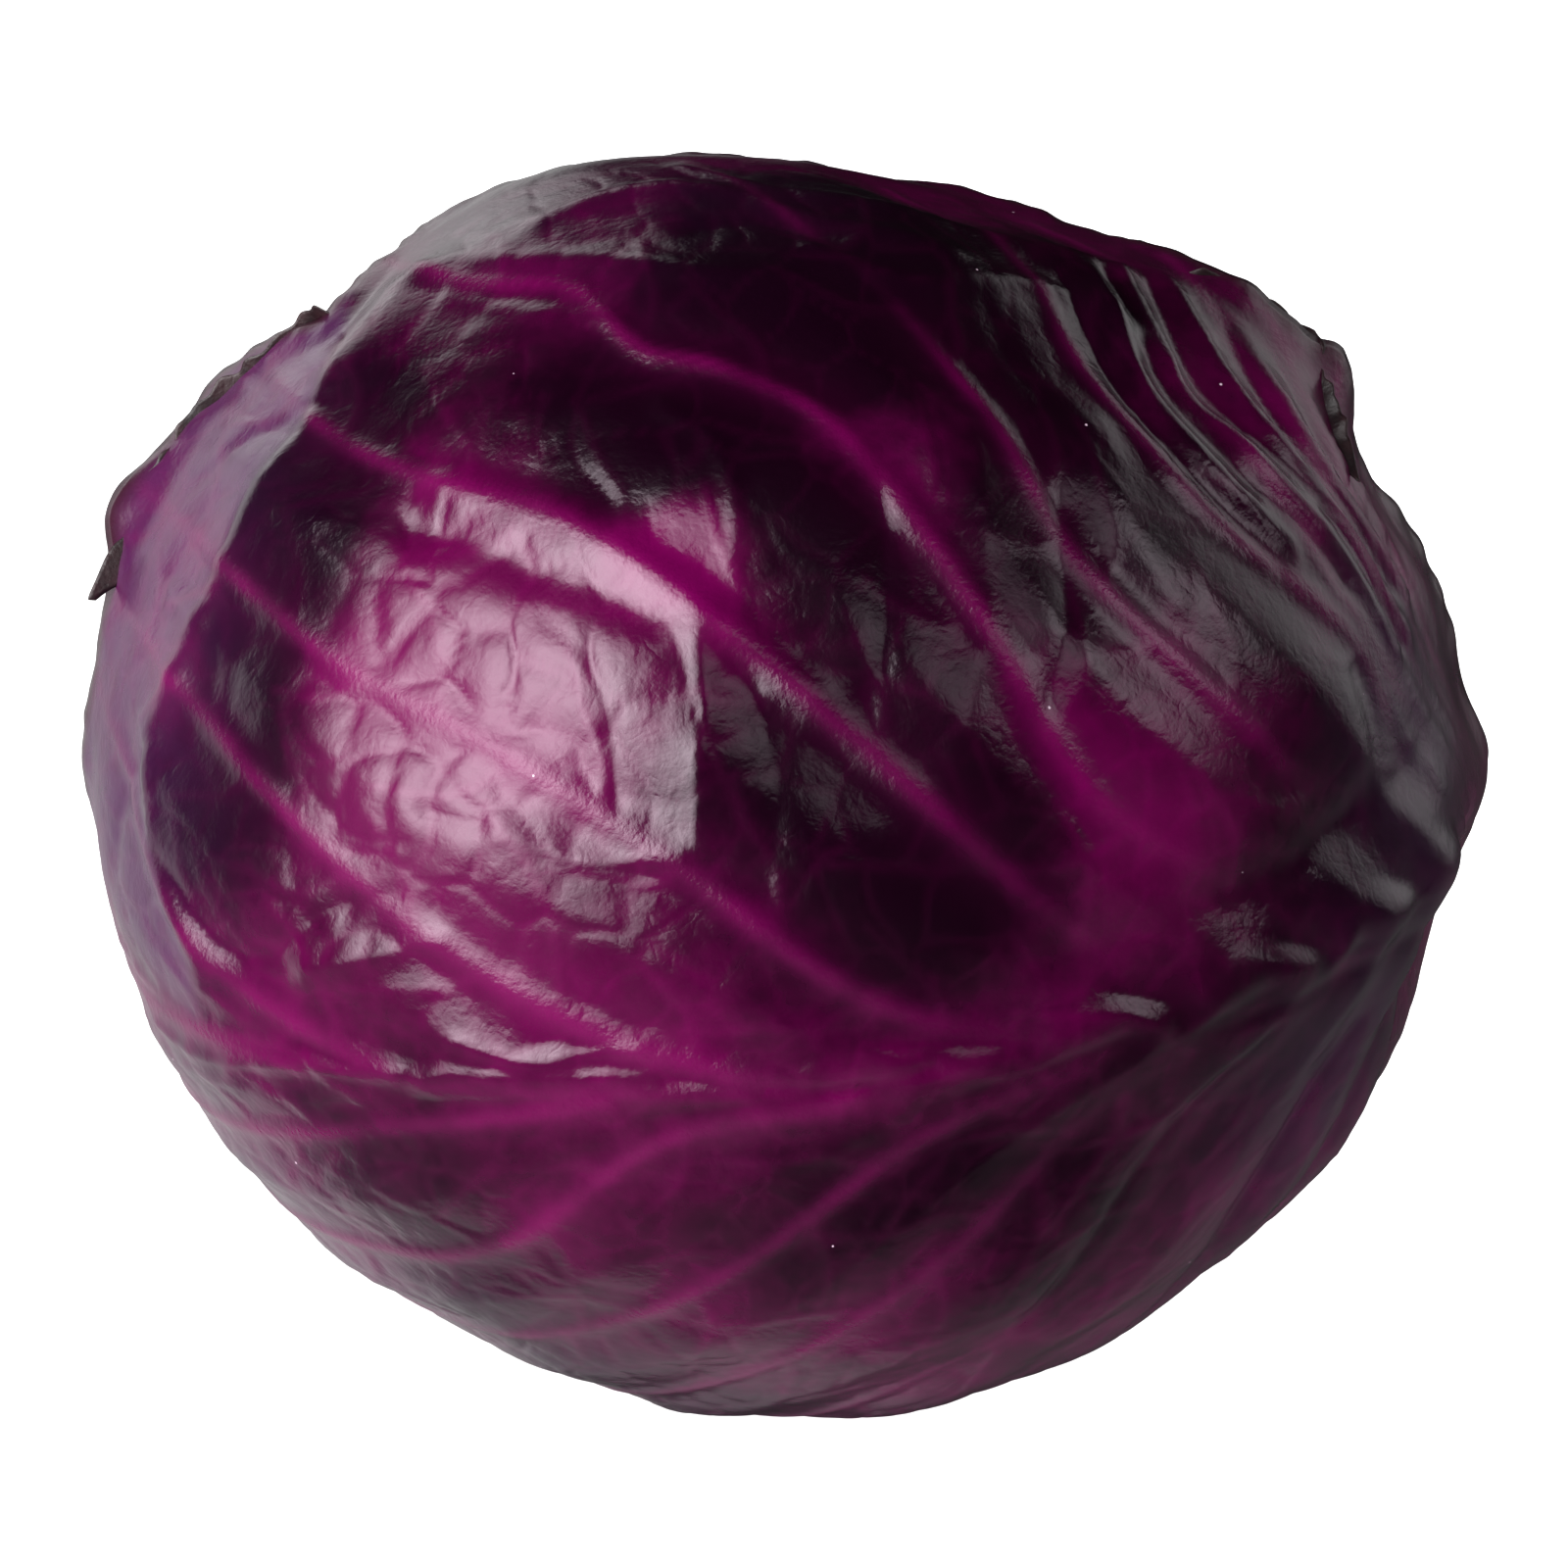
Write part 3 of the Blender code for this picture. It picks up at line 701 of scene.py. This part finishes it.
def make_packed_leaves():
    """The tight inner leaves, which show only round the stalk: soft overlapping swells and fine ribs."""
    bm = bmesh.new()
    bmesh.ops.create_icosphere(bm, subdivisions=6 if FINE == 1 else 5, radius=1)
    mesh_data = finish_mesh(bm, "packed_leaves")
    ways = get_points(mesh_data)
    ways /= np.linalg.norm(ways, axis=1)[:, None]
    layers, bare = tucked_under(-1, ways)
    spin = np.degrees(np.arctan2(ways[:, 2], -ways[:, 1]))
    swirl = np.sin(np.radians(3 * spin + 220 * ways[:, 0])) * np.sqrt(1 - np.clip(ways[:, 0], -1, 1) ** 2)
    radius = head_radius(ways) - PACKED_INSET - TUCK * layers
    radius += bare * (0.0006 * swirl + 0.0003 * ripple(ways, 0.02, 900))
    points = ways * press_flat(ways, radius, FLAT_HEIGHT - PACKED_INSET - TUCK)[:, None]
    points[:, 0] = np.minimum(points[:, 0], STALK_SEAT - 0.0003)
    set_points(mesh_data, MIDDLE + points)
    return finish_piece("packed_leaves", mesh_data)


def grow(bm, rim):
    """Extrude the rim in place, and give its new corners and its new edges."""
    grown = bmesh.ops.extrude_edge_only(bm, edges=rim)["geom"]
    corners = [part for part in grown if isinstance(part, bmesh.types.BMVert)]
    return corners, [part for part in grown if isinstance(part, bmesh.types.BMEdge)]


RIND_RINGS = 12
FACE_RINGS = 44


def make_stalk():
    """The cut stub of the stalk: a fibrous face with a rim, and a ridged rind."""
    bm = bmesh.new()
    bmesh.ops.create_circle(bm, cap_ends=False, segments=160, radius=1)
    bmesh.ops.rotate(bm, verts=bm.verts[:], matrix=Matrix.Rotation(math.pi / 2, 3, "Y"))
    rim = bm.edges[:]
    for _ in range(RIND_RINGS):
        corners, rim = grow(bm, rim)
        bmesh.ops.translate(bm, verts=corners, vec=(1 / RIND_RINGS, 0, 0))
    for step in range(FACE_RINGS - 1):
        corners, rim = grow(bm, rim)
        share = 1 - 1 / (FACE_RINGS - step)
        bmesh.ops.scale(bm, verts=corners, vec=(1, share, share))
    bmesh.ops.holes_fill(bm, edges=[edge for edge in bm.edges if edge.is_boundary], sides=0)
    bmesh.ops.recalc_face_normals(bm, faces=bm.faces[:])
    mesh_data = finish_mesh(bm, "cut_stalk")
    unit = get_points(mesh_data)
    size = np.hypot(unit[:, 1], unit[:, 2])
    spin = np.arctan2(unit[:, 2], unit[:, 1])
    round_way = np.stack([np.cos(spin), np.sin(spin), np.zeros(len(spin))], axis=1)
    length = HEAD_LENGTH / 2 + STALK_PROUD - STALK_SEAT
    width = STALK_WIDTH / 2 * (1 + (STALK_TAPER - 1) * unit[:, 0])
    width *= 1 + 0.045 * ripple(round_way, 0.11, 910) - 0.015 + 0.012 * ripple(round_way, 0.020, 911)
    across = np.stack([unit[:, 1], unit[:, 2]], axis=1) * width[:, None]
    face = unit[:, 0] > 0.999
    spots_on_face = np.concatenate([across / REACH * 2, np.zeros((len(across), 1))], axis=1)
    grain = 0.00018 * ripple(spots_on_face, 0.006, 912) + 0.00035 * ripple(spots_on_face, 0.022, 913)
    cut = grain - 0.0009 * np.exp(-(size / 0.35) ** 2) + 0.0005 * np.exp(-((size - 0.80) / 0.10) ** 2)
    cut -= 0.0012 * smooth_step(size, 0.93, 1.0)
    along = unit[:, 0] * length + np.where(face, cut - 0.0006, 0)
    points = np.stack([STALK_SEAT + along, across[:, 0], across[:, 1]], axis=1)
    set_points(mesh_data, MIDDLE + points)
    set_attribute(mesh_data, "across", np.where(face, size, 1.0))
    set_attribute(mesh_data, "rind", np.where(face, smooth_step(size, 0.90, 1.0), 1.0))
    return finish_piece("cut_stalk", mesh_data)


# ---- finishes
def plug(tree, value, socket):
    """Give a socket a number or colour, or join it to another socket."""
    if isinstance(value, bpy.types.NodeSocket):
        tree.links.new(value, socket)
    else:
        socket.default_value = value


def maths(tree, operation, *values):
    node = tree.nodes.new("ShaderNodeMath")
    node.operation = operation
    for value, socket in zip(values, node.inputs):
        plug(tree, value, socket)
    return node.outputs[0]


def times(tree, first, second):
    return maths(tree, "MULTIPLY", first, second)


def plus(tree, first, second):
    return maths(tree, "ADD", first, second)


def less(tree, first, second):
    return maths(tree, "SUBTRACT", first, second)


def blend_colours(tree, share, first, second):
    node = tree.nodes.new("ShaderNodeMix")
    node.data_type = "RGBA"
    plug(tree, share, node.inputs[0])
    plug(tree, first, node.inputs[6])
    plug(tree, second, node.inputs[7])
    return node.outputs[2]


def span(tree, value, low, high, to_low=0.0, to_high=1.0):
    node = tree.nodes.new("ShaderNodeMapRange")
    node.interpolation_type = "SMOOTHSTEP"
    for item, socket in zip((value, low, high, to_low, to_high), node.inputs):
        plug(tree, item, socket)
    return node.outputs[0]


def noise(tree, coords, scale, detail=3.0, roughness=0.5, distortion=0.0):
    node = tree.nodes.new("ShaderNodeTexNoise")
    plug(tree, coords, node.inputs["Vector"])
    plug(tree, scale, node.inputs["Scale"])
    node.inputs["Detail"].default_value = detail
    node.inputs["Roughness"].default_value = roughness
    node.inputs["Distortion"].default_value = distortion
    return node.outputs["Fac"]


def new_group(name, inputs, outputs):
    """An empty node group; inputs and outputs are (name, kind, default) and (name, kind)."""
    group = bpy.data.node_groups.new(name, "ShaderNodeTree")
    for label, kind, default in inputs:
        socket = group.interface.new_socket(label, in_out="INPUT", socket_type="NodeSocket" + kind)
        if default is not None:
            socket.default_value = default
    for label, kind in outputs:
        group.interface.new_socket(label, in_out="OUTPUT", socket_type="NodeSocket" + kind)
    return group, group.nodes.new("NodeGroupInput").outputs, group.nodes.new("NodeGroupOutput").inputs


def leaf_colour_group():
    """Purple leaf colour: dark panels, a magenta glow along the ribs, paler ribs and fine veins. On the front
    leaf the dark share and the lilac tint also carry painted light, shade and sheen.
    """
    group, given, result = new_group("leaf_colour", (
        ("Coords", "Vector", None), ("Dark", "Float", 0.5), ("Rib", "Float", 0.0), ("Glow", "Float", 0.0),
        ("Vein", "Float", 0.0), ("Margin", "Float", 0.0), ("Bloom", "Float", 0.0),
        ("Bloom Colour", "Color", (0.060, 0.012, 0.062, 1)),
        ("Dark Colour", "Color", (0.008, 0.0006, 0.005, 1)), ("Leaf Colour", "Color", (0.06, 0.001, 0.03, 1)),
        ("Rib Colour", "Color", (0.135, 0.0005, 0.062, 1)), ("Dry Colour", "Color", (0.030, 0.006, 0.014, 1)),
    ), (("Colour", "Color"),))
    coords = given["Coords"]
    cloud = noise(group, coords, 60.0, 4.0, 0.6)
    mottle = noise(group, coords, 320.0, 3.0, 0.6)
    # the dark share: the leaf's own patchy darkness, with painted light and shade on the front leaf
    dark = plus(group, given["Dark"], times(group, less(group, cloud, 0.5), 0.55))
    dark = plus(group, dark, times(group, less(group, mottle, 0.5), 0.14))
    dark = span(group, dark, 0.22, 0.82)
    colour = blend_colours(group, dark, given["Leaf Colour"], given["Dark Colour"])
    # the lilac tint: the leaf's waxy coat, and on the front leaf a painted sheen of the pale backdrop at its
    # turned-away edges
    bloom_and_sheen_share = times(group, given["Bloom"], span(group, mottle, 0.2, 0.6, 0.55, 0.85))
    colour = blend_colours(group, bloom_and_sheen_share, colour, given["Bloom Colour"])
    fade = less(group, 1.0, times(group, dark, 0.86))
    core_fade = less(group, 1.0, times(group, dark, 0.30))
    patchy = span(group, noise(group, coords, 110.0, 2.0), 0.25, 0.7, 0.45, 1.0)
    glow = times(group, times(group, given["Glow"], fade), 0.52)
    colour = blend_colours(group, glow, colour, given["Rib Colour"])
    core = times(group, times(group, given["Rib"], patchy), 0.85)
    colour = blend_colours(group, times(group, core, core_fade), colour, given["Rib Colour"])
    vein = times(group, times(group, given["Vein"], fade), 0.30)
    colour = blend_colours(group, vein, colour, given["Rib Colour"])
    colour = blend_colours(group, given["Margin"], colour, given["Dry Colour"])
    plug(group, colour, result["Colour"])
    return group


def leaf_bump_group():
    """Leathery grain and fine wrinkles, stronger on the ribs, as one height."""
    group, given, result = new_group("leaf_bump", (
        ("Coords", "Vector", None), ("Rib", "Float", 0.0), ("Net", "Float", 0.5), ("Grain", "Float", 0.5),
    ), (("Height", "Float"), ("Rough", "Float")))
    coords = given["Coords"]
    waves = noise(group, coords, 420.0, 2.0, 0.45, 0.4)
    wrinkle = maths(group, "ABSOLUTE", less(group, waves, 0.5))
    grain = noise(group, coords, 1300.0, 2.0, 0.6)
    height = times(group, wrinkle, given["Net"])
    rough_rib = times(group, grain, maths(group, "MULTIPLY_ADD", given["Rib"], 0.25, given["Grain"]))
    plug(group, plus(group, height, rough_rib), result["Height"])
    patch = span(group, noise(group, coords, 140.0, 1.0), 0.3, 0.7)
    rough = plus(group, times(group, patch, 0.05), times(group, given["Rib"], 0.05))
    plug(group, rough, result["Rough"])
    return group


def speck_group():
    """Sparse pale specks and small dark flecks."""
    group, given, result = new_group("specks", (
        ("Coords", "Vector", None), ("Scale", "Float", 260.0), ("Share", "Float", 0.25),
        ("Size", "Float", 0.05),
    ), (("Mask", "Float"),))
    cells = group.nodes.new("ShaderNodeTexVoronoi")
    plug(group, given["Coords"], cells.inputs["Vector"])
    plug(group, given["Scale"], cells.inputs["Scale"])
    split = group.nodes.new("ShaderNodeSeparateColor")
    plug(group, cells.outputs["Color"], split.inputs[0])
    chosen = maths(group, "LESS_THAN", split.outputs[0], given["Share"])
    limit = times(group, given["Size"], plus(group, split.outputs[1], 0.4))
    near = maths(group, "LESS_THAN", cells.outputs["Distance"], limit)
    plug(group, times(group, chosen, near), result["Mask"])
    return group


def new_material(name):
    material = bpy.data.materials.new(name)
    material.use_nodes = True
    nodes = material.node_tree.nodes
    nodes.clear()
    shader = nodes.new("ShaderNodeBsdfPrincipled")
    output = nodes.new("ShaderNodeOutputMaterial")
    material.node_tree.links.new(shader.outputs["BSDF"], output.inputs["Surface"])
    return material, material.node_tree, shader


def attribute(tree, name):
    node = tree.nodes.new("ShaderNodeAttribute")
    node.attribute_name = name
    return node.outputs["Fac"]


def place_group(tree, group, values):
    node = tree.nodes.new("ShaderNodeGroup")
    node.node_tree = group
    for label, value in values.items():
        plug(tree, value, node.inputs[label])
    return node.outputs


def object_coords(tree):
    return tree.nodes.new("ShaderNodeTexCoord").outputs["Object"]


def add_bump(tree, shader, height, strength, distance):
    bump = tree.nodes.new("ShaderNodeBump")
    bump.inputs["Strength"].default_value = strength
    bump.inputs["Distance"].default_value = distance
    plug(tree, height, bump.inputs["Height"])
    plug(tree, bump.outputs["Normal"], shader.inputs["Normal"])


# pale specks, then dark flecks: cells to a metre, the share of them that hold one, colour
SPECKS = ((230.0, 0.16, (0.55, 0.40, 0.5, 1)), (140.0, 0.05, (0.004, 0.001, 0.002, 1)))
SPECK_SIZE = 0.035


def leaf_material(name, groups, roughness, leaf_tone, dark_tone):
    material, tree, shader = new_material(name)
    coords = object_coords(tree)
    rib = attribute(tree, "rib")
    given = {"Coords": coords, "Rib": rib, "Leaf Colour": leaf_tone, "Dark Colour": dark_tone}
    for mask in ("Dark", "Glow", "Vein", "Margin", "Bloom"):
        given[mask] = attribute(tree, mask.lower())
    colour = place_group(tree, groups["colour"], given)["Colour"]
    for scale, share, tint in SPECKS:
        given = {"Coords": coords, "Scale": scale, "Share": share, "Size": SPECK_SIZE}
        colour = blend_colours(tree, place_group(tree, groups["speck"], given)["Mask"], colour, tint)
    plug(tree, colour, shader.inputs["Base Color"])
    relief = place_group(tree, groups["bump"], {"Coords": coords, "Rib": rib, "Net": 0.36, "Grain": 0.12})
    satin = times(tree, attribute(tree, "satin"), 0.17)
    rough = plus(tree, plus(tree, roughness, relief["Rough"]), satin)
    plug(tree, rough, shader.inputs["Roughness"])
    add_bump(tree, shader, relief["Height"], 0.8, 0.00034)
    shader.inputs["IOR"].default_value = 1.48
    shader.inputs["Specular Tint"].default_value = (1.0, 0.86, 0.95, 1)
    return material


def packed_material(groups):
    material, tree, shader = new_material("packed_leaf_skin")
    coords = object_coords(tree)
    cloud = span(tree, noise(tree, coords, 70.0, 4.0), 0.3, 0.7)
    colour = blend_colours(tree, cloud, (0.10, 0.004, 0.055, 1), (0.035, 0.001, 0.02, 1))
    plug(tree, colour, shader.inputs["Base Color"])
    relief = place_group(tree, groups["bump"], {"Coords": coords, "Rib": 0.2, "Net": 0.3, "Grain": 0.5})
    plug(tree, plus(tree, 0.34, relief["Rough"]), shader.inputs["Roughness"])
    add_bump(tree, shader, relief["Height"], 0.4, 0.00015)
    return material


def stalk_material(groups):
    """A dried cream cut with a purple ring near the rim, and a pinkish purple rind."""
    material, tree, shader = new_material("cut_stalk_flesh")
    coords = object_coords(tree)
    across = attribute(tree, "across")
    fibres = noise(tree, coords, 900.0, 3.0, 0.6)
    stain = span(tree, noise(tree, coords, 120.0, 4.0, 0.6), 0.35, 0.75)
    colour = blend_colours(tree, fibres, (0.62, 0.50, 0.36, 1), (0.42, 0.29, 0.20, 1))
    colour = blend_colours(tree, times(tree, stain, 0.6), colour, (0.30, 0.17, 0.10, 1))
    ring = times(tree, span(tree, across, 0.66, 0.80), span(tree, across, 0.97, 0.86))
    colour = blend_colours(tree, times(tree, ring, 0.75), colour, (0.22, 0.05, 0.15, 1))
    colour = blend_colours(tree, attribute(tree, "rind"), colour, (0.16, 0.06, 0.11, 1))
    plug(tree, colour, shader.inputs["Base Color"])
    shader.inputs["Roughness"].default_value = 0.62
    relief = place_group(tree, groups["bump"], {"Coords": coords, "Rib": 0.6, "Net": 0.5, "Grain": 0.8})
    add_bump(tree, shader, relief["Height"], 0.6, 0.0002)
    return material


def scrap_material(groups):
    """Dry, brittle leaf: nearly black, reddish where it is still a little fresh near its foot."""
    material, tree, shader = new_material("dried_leaf")
    coords = object_coords(tree)
    stain = span(tree, noise(tree, coords, 240.0, 4.0, 0.6), 0.3, 0.7)
    dry = blend_colours(tree, stain, (0.008, 0.0025, 0.004, 1), (0.026, 0.007, 0.010, 1))
    fresh = span(tree, attribute(tree, "rise"), 0.25, 0.7)
    plug(tree, blend_colours(tree, fresh, (0.035, 0.004, 0.016, 1), dry), shader.inputs["Base Color"])
    relief = place_group(tree, groups["bump"], {"Coords": coords, "Rib": 0.5, "Net": 0.8, "Grain": 0.8})
    plug(tree, plus(tree, 0.45, relief["Rough"]), shader.inputs["Roughness"])
    add_bump(tree, shader, relief["Height"], 0.7, 0.0002)
    return material


# ---- camera, light and floor
VIEW_TURN = -20.0
VIEW_RAISE = 25.0
VIEW_DISTANCE = 0.52
LENS = 100.3
SENSOR_WIDTH = 36


def view_axes():
    turn, raised = math.radians(VIEW_TURN), math.radians(VIEW_RAISE)
    back = Vector((math.sin(turn) * math.cos(raised), -math.cos(turn) * math.cos(raised), math.sin(raised)))
    right = Vector((math.cos(turn), math.sin(turn), 0))
    return right, back.cross(right), back


def make_camera():
    right, up, back = view_axes()
    lens = bpy.data.cameras.new("front_view")
    lens.lens = LENS
    lens.sensor_width = SENSOR_WIDTH
    camera = new_object("front_view", lens)
    turned = Matrix((right, up, back)).transposed().to_4x4()
    aim = Vector(MIDDLE) + right * 0.0003 + up * 0.0006
    camera.matrix_world = Matrix.Translation(aim + back * VIEW_DISTANCE) @ turned
    bpy.context.scene.camera = camera


def make_panel(name, azimuth, elevation, distance, width, height, radiance, edge):
    """A soft light panel, placed by its angles to the right of and above the camera's line.

    Edge is how much of its brightness a panel loses from its middle to its corners."""
    right, up, back = view_axes()
    turn, raised = math.radians(azimuth), math.radians(elevation)
    way = (right * math.sin(turn) + back * math.cos(turn)) * math.cos(raised) + up * math.sin(raised)
    light = bpy.data.lights.new(name, "AREA")
    light.shape = "RECTANGLE"
    light.size = width
    light.size_y = height
    light.energy = radiance * math.pi * width * height
    panel = new_object(name, light)
    sideways = up.cross(way).normalized()
    turned = Matrix((sideways, way.cross(sideways), way)).transposed().to_4x4()
    panel.matrix_world = Matrix.Translation(Vector(MIDDLE) + way * distance) @ turned
    light.use_nodes = True
    tree = light.node_tree
    tree.nodes.clear()
    output = tree.nodes.new("ShaderNodeOutputLight")
    emission = tree.nodes.new("ShaderNodeEmission")
    tree.links.new(emission.outputs[0], output.inputs[0])
    spread = tree.nodes.new("ShaderNodeVectorMath")
    spread.operation = "DISTANCE"
    plug(tree, tree.nodes.new("ShaderNodeNewGeometry").outputs["Parametric"], spread.inputs[0])
    spread.inputs[1].default_value = (0.5, 0.5, 0.0)
    fall = span(tree, spread.outputs["Value"], 0.0, 0.55, 1.0, 1.0 - edge)
    plug(tree, fall, emission.inputs["Strength"])
    return panel


# pale parts of the backdrop: heading to the right, up and away, where each starts and is full, radiance
BACKDROP = (
    ((-0.60, 0.05, 0.80), 0.74, 0.88, 0.78),
    ((-0.76, 0.36, 0.54), 0.95, 0.99, 0.60),
    ((-0.38, 0.68, 0.63), 0.94, 0.99, 1.40),
    ((-0.25, -0.74, 0.62), 0.90, 0.98, 0.35),
    ((-0.40, -0.85, 0.20), 0.55, 1.00, 0.20),
    ((0.74, 0.48, 0.47), 0.86, 0.99, 1.00),
    ((0.62, -0.58, 0.53), 0.60, 1.00, 0.16),
)


ROOM_RADIANCE = 0.006        # of the dark room in front of the head
SEEN_RADIANCE = 1.25         # of the backdrop as the camera sees it


def make_world():
    """A white backdrop behind the head and a dark room in front of it."""
    world = bpy.data.worlds.new("studio")
    bpy.context.scene.world = world
    world.use_nodes = True
    tree = world.node_tree
    tree.nodes.clear()
    output = tree.nodes.new("ShaderNodeOutputWorld")
    background = tree.nodes.new("ShaderNodeBackground")
    coords = tree.nodes.new("ShaderNodeTexCoord")
    right, up, back = view_axes()
    brightness = ROOM_RADIANCE
    for heading, start, full, radiance in BACKDROP:
        middle = (right * heading[0] + up * heading[1] - back * heading[2]).normalized()
        dot = tree.nodes.new("ShaderNodeVectorMath")
        dot.operation = "DOT_PRODUCT"
        plug(tree, coords.outputs["Generated"], dot.inputs[0])
        dot.inputs[1].default_value = middle
        lobe = span(tree, dot.outputs["Value"], start, full, 0.0, radiance)
        brightness = plus(tree, lobe, brightness)
    path = tree.nodes.new("ShaderNodeLightPath")
    strength = tree.nodes.new("ShaderNodeMix")
    plug(tree, path.outputs["Is Camera Ray"], strength.inputs[0])
    plug(tree, brightness, strength.inputs[2])
    strength.inputs[3].default_value = SEEN_RADIANCE
    plug(tree, strength.outputs[0], background.inputs["Strength"])
    tree.links.new(background.outputs[0], output.inputs["Surface"])


FLOOR_REACH = 1.3            # from its middle to each side
FLOOR_DROP = 0.0002          # below the head, so that their faces don't share a plane
WASH_SIZE = 5.0
WASH_HEIGHT = 1.4
WASH_RADIANCE = 3.4


def make_floor():
    bm = bmesh.new()
    below = Matrix.Translation((0, 0, -FLOOR_DROP))
    bmesh.ops.create_grid(bm, x_segments=1, y_segments=1, size=FLOOR_REACH, matrix=below)
    mesh_data = finish_mesh(bm, "floor")
    floor = new_object("floor", mesh_data)
    material, _, shader = new_material("floor_paper")
    shader.inputs["Base Color"].default_value = (0.80, 0.80, 0.80, 1)
    shader.inputs["Roughness"].default_value = 0.9
    shader.inputs["Specular IOR Level"].default_value = 0.1
    mesh_data.materials.append(material)
    floor.visible_glossy = False
    return floor


def keep_off_floor(floor, panels):
    """The panels light the head only, so the floor stays evenly white."""
    others = bpy.data.collections.new("all_but_the_floor")
    others.objects.link(floor)
    others.collection_objects[0].light_linking.link_state = "EXCLUDE"
    for panel in panels:
        panel.light_linking.receiver_collection = others


def make_floor_wash(floor):
    """An overhead light for the floor alone, so that it stays as pale as the backdrop."""
    light = bpy.data.lights.new("floor_wash", "AREA")
    light.size = WASH_SIZE
    light.energy = WASH_SIZE ** 2 * math.pi * WASH_RADIANCE
    wash = new_object("floor_wash", light)
    wash.location = (0.0, 0.0, WASH_HEIGHT)
    lit = bpy.data.collections.new("lit_by_floor_wash")
    lit.objects.link(floor)
    wash.light_linking.receiver_collection = lit
    wash.light_linking.blocker_collection = lit


# ---- put together
groups = {"colour": leaf_colour_group(), "bump": leaf_bump_group(), "speck": speck_group()}
front_skin = leaf_material("front_leaf_skin", groups, 0.16,
                           (0.080, 0.0002, 0.036, 1), (0.0050, 0.0002, 0.0032, 1))
wrapper_skin = leaf_material("wrapper_leaf_skin", groups, 0.20,
                             (0.070, 0.0006, 0.032, 1), (0.011, 0.0008, 0.0055, 1))
# how finely a leaf is divided: columns, rows, and how much coarser its inner face is
SIZES = {"front_leaf": (300, 306, 4), "upper_back_leaf": (230, 220, 4), "under_leaf": (150, 150, 3)}
for number, leaf in enumerate(LEAVES):
    columns, rows, coarse = SIZES.get(leaf.name, (110, 110, 3))
    piece = make_leaf(number, leaf, columns, rows, coarse)
    piece.data.materials.append(front_skin if leaf.name == "front_leaf" else wrapper_skin)
    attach(piece, "root")
    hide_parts(leaf.name)

dried = scrap_material(groups)
for scrap in SCRAPS:
    piece = make_scrap(*scrap)
    piece.data.materials.append(dried)
    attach(piece, "root")

packed = make_packed_leaves()
packed.data.materials.append(packed_material(groups))
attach(packed, "root")
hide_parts("packed_head")
stub = make_stalk()
stub.data.materials.append(stalk_material(groups))
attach(stub, "root")
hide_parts("stalk")

make_camera()
make_world()
floor = make_floor()
make_floor_wash(floor)
panels = [
    make_panel("key_softbox", -39, 11.5, 0.75, 0.80, 1.0, 13.0, 0.80),
    make_panel("side_panel", 31, 23, 1.0, 0.50, 0.42, 1.3, 0.60),
    make_panel("far_panel", 66, 22, 1.0, 0.52, 0.40, 2.4, 0.60),
]
keep_off_floor(floor, panels)
bpy.context.scene.view_settings.view_transform = "Standard"
